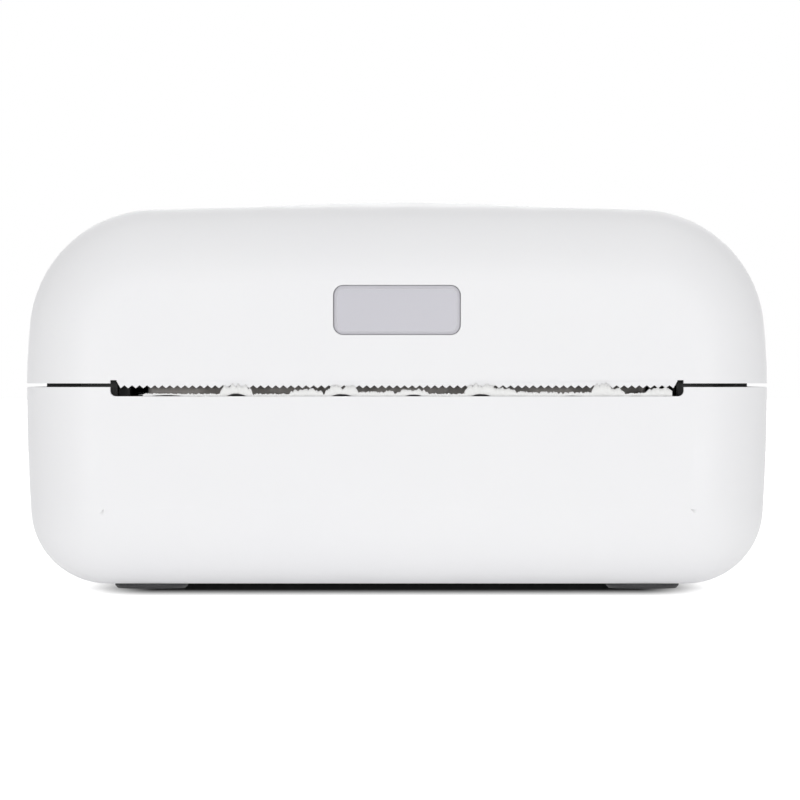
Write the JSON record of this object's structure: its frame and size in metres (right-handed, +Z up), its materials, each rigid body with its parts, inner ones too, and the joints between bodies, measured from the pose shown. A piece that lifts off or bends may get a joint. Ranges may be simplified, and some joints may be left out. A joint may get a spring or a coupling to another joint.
{
  "type": "portable thermal printer",
  "caption": "Pocket thermal printer with a hinged cover over a paper roll bay, a toothed slot for the paper and a cover release key on the front.",
  "frame": {"origin": "under the middle of the case, on the plane the four feet stand on", "axes": "+X to the right of someone facing the paper slot, the slot and key face -Y, +Z up"},
  "size_m": [0.081, 0.081, 0.043],
  "materials": {
    "base_screws": "black zinc",
    "base_shell": "satin moulded skin",
    "battery_leads": "insulation",
    "battery_pack": "pouch foil",
    "board_parts": "matt",
    "cover_liner": "fine matt",
    "cover_screws": "black zinc",
    "cover_shell": "satin moulded skin",
    "head_driver_cover": "potted",
    "head_flex": "polyimide film",
    "head_heat_sink": "milled",
    "head_pivot_pin": "ground",
    "head_springs": "bright",
    "hinge_pin": "ground",
    "idler_axle": "ground",
    "idler_gear": "matt",
    "inner_frame": "fine matt",
    "latch_slider": "matt",
    "latch_springs": "bright",
    "light_pipe": "clear",
    "main_board": "solder mask",
    "mechanism_chassis": "zinc plated",
    "mechanism_screws": "black zinc",
    "motor_body": "zinc plated",
    "motor_pinion": "turned",
    "motor_shaft": "ground",
    "paper_core": "cardboard",
    "paper_roll": "coated paper",
    "paper_sensor": "matt",
    "paper_web": "coated paper",
    "platen_bearings": "matt",
    "platen_gear": "matt",
    "platen_rubber": "ground",
    "platen_shaft": "ground",
    "power_button": "satin",
    "release_button": "satin",
    "rubber_feet": "matt",
    "tact_switches": "matt",
    "tear_strip": "satin",
    "thermal_head": "glazed",
    "usb_socket": "stamped"
  },
  "bodies": {
    "base": {"base_shell": "base_shell", "rubber_feet": "rubber_feet", "base_screws": "base_screws", "inner_frame": "inner_frame", "mechanism_chassis": "mechanism_chassis", "mechanism_screws": "mechanism_screws", "motor_body": "motor_body", "idler_axle": "idler_axle", "head_pivot_pin": "head_pivot_pin", "head_springs": "head_springs", "head_flex": "head_flex", "paper_web": "paper_web", "paper_sensor": "paper_sensor", "main_board": "main_board", "board_parts": "board_parts", "usb_socket": "usb_socket", "tact_switches": "tact_switches", "light_pipe": "light_pipe", "battery_pack": "battery_pack", "battery_leads": "battery_leads", "hinge_pin": "hinge_pin"},
    "cover": {"cover_shell": "cover_shell", "cover_liner": "cover_liner", "cover_screws": "cover_screws", "tear_strip": "tear_strip", "platen_bearings": "platen_bearings", "latch_springs": "latch_springs"},
    "latch": {"release_button": "release_button", "latch_slider": "latch_slider"},
    "platen": {"platen_shaft": "platen_shaft", "platen_rubber": "platen_rubber", "platen_gear": "platen_gear"},
    "idler": {"idler_gear": "idler_gear"},
    "drive": {"motor_shaft": "motor_shaft", "motor_pinion": "motor_pinion"},
    "paper": {"paper_roll": "paper_roll", "paper_core": "paper_core"},
    "head": {"head_heat_sink": "head_heat_sink", "thermal_head": "thermal_head", "head_driver_cover": "head_driver_cover"},
    "power_key": {"power_button": "power_button"}
  },
  "joints": [
    {"name": "cover_hinge", "type": "hinge", "parent": "base", "child": "cover", "pos_m": [0, 0.0385, 0.0223], "axis": [-1, 0, 0], "range_deg": [0, 90]},
    {"name": "release_press", "type": "slide", "parent": "cover", "child": "latch", "axis": [0, 1, 0], "range_m": [0, 0.0012], "stiffness_N_per_m": 200, "springref_m": -0.0005, "deforming": ["latch_springs"]},
    {"name": "paper_roll_spin", "type": "hinge", "parent": "base", "child": "paper", "pos_m": [0, 0.004, 0.0202], "axis": [-1, 0, 0], "continuous": true},
    {"name": "platen_spin", "type": "hinge", "parent": "cover", "child": "platen", "pos_m": [0, -0.031, 0.0245], "axis": [-1, 0, 0], "continuous": true},
    {"name": "idler_spin", "type": "hinge", "parent": "base", "child": "idler", "pos_m": [0.035, -0.0265, 0.01557], "axis": [-1, 0, 0], "continuous": true},
    {"name": "motor_spin", "type": "hinge", "parent": "base", "child": "drive", "pos_m": [0.035, -0.0185, 0.01301], "axis": [-1, 0, 0], "continuous": true},
    {"name": "head_pivot", "type": "hinge", "parent": "base", "child": "head", "pos_m": [0, -0.025, 0.0162], "axis": [1, 0, 0], "range_deg": [0, 2], "stiffness_Nm_per_rad": 0.05, "springref_deg": -1.15, "deforming": ["head_springs"]},
    {"name": "power_press", "type": "slide", "parent": "base", "child": "power_key", "axis": [0, -1, 0], "range_m": [0, 0.0003], "stiffness_N_per_m": 100, "springref_m": -0.0003}
  ],
  "couplings": [
    {"joint": "platen_spin", "follows": "paper_roll_spin", "ratio": 3.3333},
    {"joint": "idler_spin", "follows": "paper_roll_spin", "ratio": -2.2222},
    {"joint": "motor_spin", "follows": "paper_roll_spin", "ratio": 5.5556}
  ]
}
